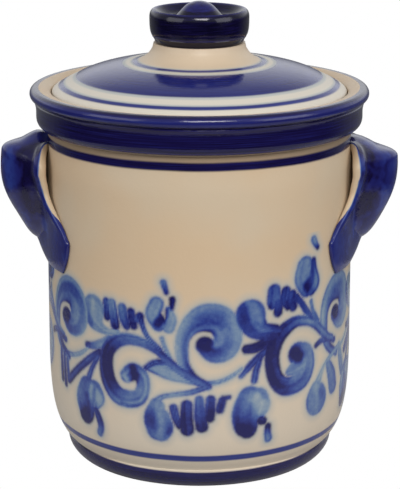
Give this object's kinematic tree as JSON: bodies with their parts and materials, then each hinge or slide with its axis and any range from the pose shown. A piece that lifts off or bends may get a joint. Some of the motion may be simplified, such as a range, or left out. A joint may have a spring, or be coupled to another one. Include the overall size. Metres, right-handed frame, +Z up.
{
  "type": "rumtopf pot",
  "caption": "Glazed stoneware storage crock with a collared rim, side strap handles and a domed lid that sits inside the rim and lifts off by a dished knob.",
  "frame": {"origin": "centre of the foot ring on the surface the pot stands on", "axes": "+Z up the pot's axis; the handles stand out along +X and -X; the decorated front faces -Y"},
  "size_m": [0.2476, 0.2096, 0.2874],
  "materials": {
    "salt_glaze": "glossy grey-beige salt glaze over stoneware with painted cobalt decoration",
    "cobalt_glaze": "glossy dark cobalt glaze"
  },
  "bodies": {
    "pot": {"pot_body": "salt_glaze", "handle_left": "cobalt_glaze", "handle_right": "cobalt_glaze"},
    "lid_assembly": {"lid": "salt_glaze", "lid_knob": "cobalt_glaze"}
  },
  "joints": [
    {"name": "lid_lift", "type": "slide", "parent": "pot", "child": "lid_assembly", "axis": [0, 0, 1], "range_m": [0, 0.25]}
  ]
}
